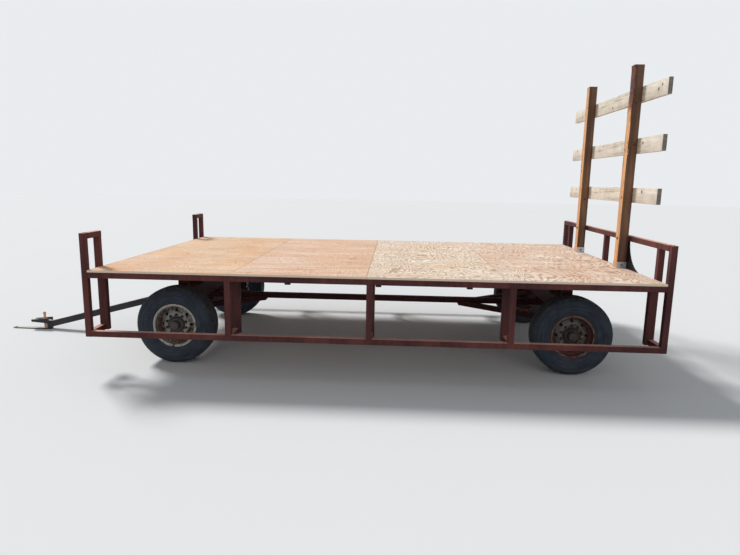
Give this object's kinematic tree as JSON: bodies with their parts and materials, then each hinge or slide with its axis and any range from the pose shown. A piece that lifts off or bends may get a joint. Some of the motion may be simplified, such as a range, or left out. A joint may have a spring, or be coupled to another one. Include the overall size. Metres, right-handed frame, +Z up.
{
  "type": "hay wagon",
  "caption": "Flat-deck farm wagon with a plywood deck on a red tube frame, hanging foot rails, corner hoops, a timber rear rack, steered front wheels and a tongue.",
  "frame": {"origin": "on the floor, under the middle of the overall length and width", "axes": "+X ahead towards the tongue, +Y the wagon's left, +Z up"},
  "size_m": [6.6828, 2.95, 2.836],
  "materials": {
    "plywood_tan": "bare weathered plywood, peach tan, with fine grain",
    "plywood_pale": "bare plywood, paler cream, with wavy cathedral grain",
    "post_wood": "brown stained sawn timber with knots and checks",
    "board_wood": "bare pale softwood with knots and end checks",
    "tyre_rubber": "worn black rubber with dust",
    "wheel_grey": "old grey paint, rusted through in patches",
    "wheel_rusty": "worn grey paint over heavy rust",
    "galvanized": "dull galvanized steel",
    "black_paint": "satin black paint",
    "tongue_paint": "worn dark paint with bare and rusty spots",
    "pin_paint": "faded orange paint",
    "worn_steel": "greasy rusted steel",
    "gear_paint": "dull dark red paint with dust and rust",
    "frame_paint": "red-oxide paint, dull, scuffed and rusty at the welds"
  },
  "bodies": {
    "wagon": {"bolster_front": "gear_paint", "bolster_rear": "gear_paint", "cross_tubes": "frame_paint", "drop_posts_left": "frame_paint", "drop_posts_right": "frame_paint", "end_rail_front": "frame_paint", "end_rail_rear": "frame_paint", "foot_rail_left": "frame_paint", "foot_rail_right": "frame_paint", "foot_tubes_left": "frame_paint", "foot_tubes_right": "frame_paint", "front_axle": "gear_paint", "front_hoop_left": "frame_paint", "front_hoop_right": "frame_paint", "hounds_front": "gear_paint", "hounds_rear": "gear_paint", "king_bolt": "worn_steel", "kingpins": "worn_steel", "outer_posts_left": "frame_paint", "outer_posts_right": "frame_paint", "plywood_sheet_1": "plywood_tan", "plywood_sheet_2": "plywood_tan", "plywood_sheet_3": "plywood_pale", "plywood_sheet_4": "plywood_pale", "post_base_left": "galvanized", "post_base_right": "galvanized", "post_brace": "black_paint", "rack_boards": "board_wood", "rack_post_left": "post_wood", "rack_post_right": "post_wood", "reach_pole": "gear_paint", "rear_axle": "gear_paint", "rear_rail": "frame_paint", "side_rail_left": "frame_paint", "side_rail_right": "frame_paint", "sill_left": "frame_paint", "sill_right": "frame_paint"},
    "steering_yoke": {"steering_yoke": "tongue_paint", "tongue_pin": "worn_steel"},
    "tongue": {"tongue": "tongue_paint", "hitch_clevis": "tongue_paint", "hitch_pin": "pin_paint"},
    "knuckle_left": {"knuckle_left": "worn_steel"},
    "knuckle_right": {"knuckle_right": "worn_steel"},
    "tie_rod_left": {"tie_rod_left": "worn_steel"},
    "tie_rod_right": {"tie_rod_right": "worn_steel"},
    "wheel_front_left": {"tyre_front_left": "tyre_rubber", "wheel_front_left": "wheel_grey"},
    "wheel_front_right": {"tyre_front_right": "tyre_rubber", "wheel_front_right": "wheel_grey"},
    "wheel_rear_left": {"tyre_rear_left": "tyre_rubber", "wheel_rear_left": "wheel_rusty"},
    "wheel_rear_right": {"tyre_rear_right": "tyre_rubber", "wheel_rear_right": "wheel_rusty"}
  },
  "joints": [
    {"name": "steer", "type": "hinge", "parent": "wagon", "child": "steering_yoke", "pos_m": [1.1764, 0, 0.3665], "axis": [0, 0, 1], "range_deg": [-30, 30]},
    {"name": "tongue_lift", "type": "hinge", "parent": "steering_yoke", "child": "tongue", "pos_m": [1.3714, 0, 0.47], "axis": [0, -1, 0], "range_deg": [0, 40]},
    {"name": "knuckle_left_turn", "type": "hinge", "parent": "wagon", "child": "knuckle_left", "pos_m": [1.0144, 0.79, 0.3665], "axis": [0, 0, 1], "range_deg": [-30, 30]},
    {"name": "tie_rod_left_turn", "type": "hinge", "parent": "steering_yoke", "child": "tie_rod_left", "pos_m": [1.2964, 0.032, 0.334], "axis": [0, 0, 1], "range_deg": [-30, 30]},
    {"name": "knuckle_right_turn", "type": "hinge", "parent": "wagon", "child": "knuckle_right", "pos_m": [1.0144, -0.79, 0.3665], "axis": [0, 0, 1], "range_deg": [-30, 30]},
    {"name": "tie_rod_right_turn", "type": "hinge", "parent": "steering_yoke", "child": "tie_rod_right", "pos_m": [1.2964, -0.032, 0.334], "axis": [0, 0, 1], "range_deg": [-30, 30]},
    {"name": "wheel_front_left_spin", "type": "hinge", "parent": "knuckle_left", "child": "wheel_front_left", "pos_m": [1.0144, 0.96, 0.3665], "axis": [0, 1, 0], "continuous": true},
    {"name": "wheel_front_right_spin", "type": "hinge", "parent": "knuckle_right", "child": "wheel_front_right", "pos_m": [1.0144, -0.96, 0.3665], "axis": [0, 1, 0], "continuous": true},
    {"name": "wheel_rear_left_spin", "type": "hinge", "parent": "wagon", "child": "wheel_rear_left", "pos_m": [-2.6966, 0.96, 0.3665], "axis": [0, 1, 0], "continuous": true},
    {"name": "wheel_rear_right_spin", "type": "hinge", "parent": "wagon", "child": "wheel_rear_right", "pos_m": [-2.6966, -0.96, 0.3665], "axis": [0, 1, 0], "continuous": true}
  ],
  "couplings": [
    {"joint": "knuckle_left_turn", "follows": "steer", "ratio": 1},
    {"joint": "tie_rod_left_turn", "follows": "steer", "ratio": -1},
    {"joint": "knuckle_right_turn", "follows": "steer", "ratio": 1},
    {"joint": "tie_rod_right_turn", "follows": "steer", "ratio": -1}
  ]
}
